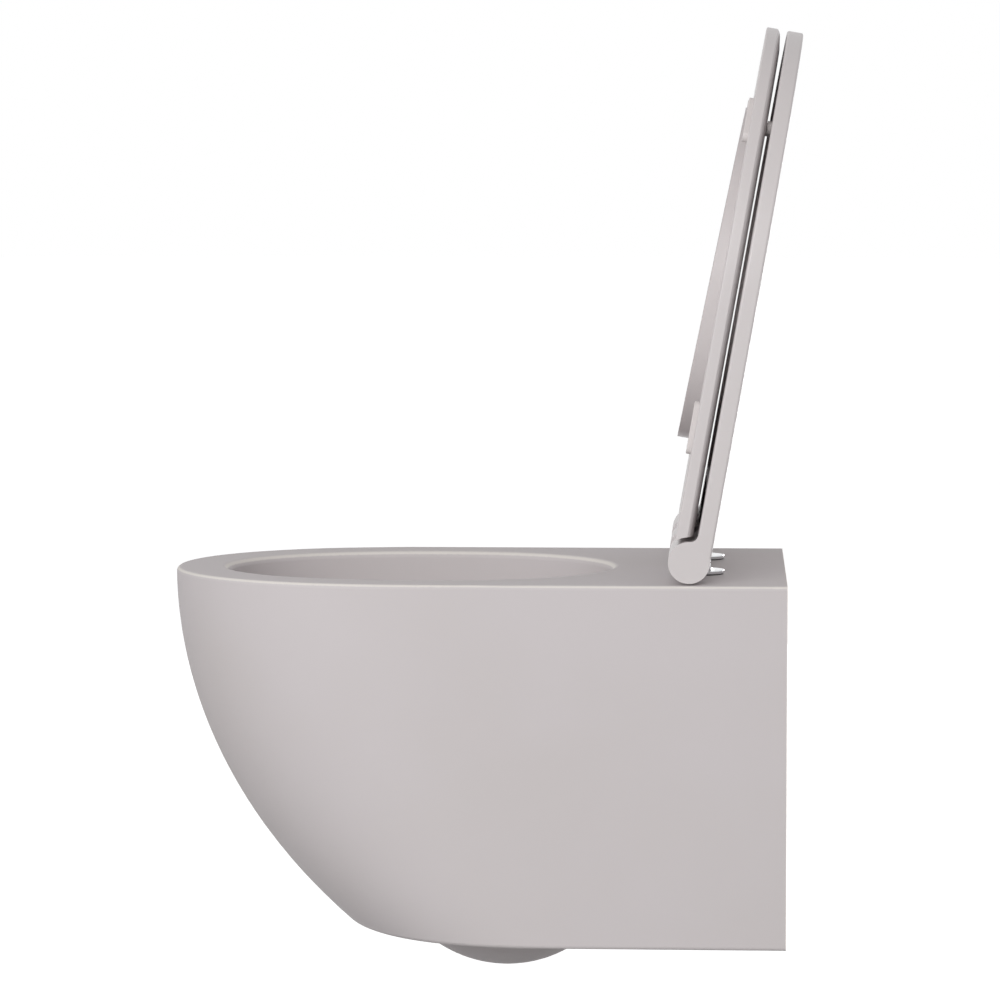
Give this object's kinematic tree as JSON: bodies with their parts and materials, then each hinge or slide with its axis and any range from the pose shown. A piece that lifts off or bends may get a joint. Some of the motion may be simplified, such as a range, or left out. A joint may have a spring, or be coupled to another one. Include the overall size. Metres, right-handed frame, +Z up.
{
  "type": "wall hung toilet",
  "caption": "Wall hung toilet with a shrouded rimless ceramic pan, a soft-close seat ring and a flat lid, both standing raised.",
  "frame": {"origin": "on the wall face, midway between the two wall studs", "axes": "+Z up, +Y into the wall, so -Y points to the front of the pan; +X to the right-hand side of someone who faces the wall"},
  "size_m": [0.36, 0.5434, 0.8174],
  "materials": {
    "pan_ceramic": "matt glaze, warm light grey",
    "seat_duroplast": "satin moulded duroplast, warm light grey",
    "bumper_rubber": "translucent light grey rubber",
    "gasket_rubber": "black rubber",
    "hinge_chrome": "polished chrome",
    "steel": "turned stainless steel",
    "nylon": "moulded natural nylon",
    "damper_plastic": "moulded dark acetal"
  },
  "bodies": {
    "pan": {"ceramic_pan": "pan_ceramic", "seat_damper_shaft": "steel", "lid_damper_shaft": "steel", "wall_sleeve_left": "nylon", "wall_sleeve_right": "nylon", "wall_washer_left": "steel", "wall_washer_right": "steel", "wall_nut_left": "steel", "wall_nut_right": "steel", "base_gasket_left": "gasket_rubber", "base_gasket_right": "gasket_rubber", "hinge_base_left": "hinge_chrome", "hinge_base_right": "hinge_chrome", "hinge_block_left": "hinge_chrome", "hinge_block_right": "hinge_chrome", "hinge_pin_left": "steel", "hinge_pin_right": "steel", "seat_bolt_left": "steel", "seat_bolt_right": "steel", "expansion_plug_left": "gasket_rubber", "expansion_plug_right": "gasket_rubber", "seat_nut_left": "nylon", "seat_nut_right": "nylon", "inlet_seal": "gasket_rubber"},
    "ring": {"seat_ring": "seat_duroplast", "ring_bumpers_front": "bumper_rubber", "ring_bumpers_rear": "bumper_rubber", "seat_damper": "damper_plastic"},
    "lid": {"seat_lid": "seat_duroplast", "lid_bumpers": "bumper_rubber", "lid_damper": "damper_plastic"}
  },
  "joints": [
    {"name": "lid_pivot", "type": "hinge", "parent": "pan", "child": "lid", "pos_m": [0, -0.082, 0.104], "axis": [1, 0, 0], "range_deg": [0, 100]},
    {"name": "ring_pivot", "type": "hinge", "parent": "pan", "child": "ring", "pos_m": [0, -0.082, 0.104], "axis": [1, 0, 0], "range_deg": [0, 100]}
  ],
  "couplings": [
    {"joint": "ring_pivot", "follows": "lid_pivot", "ratio": 1}
  ]
}
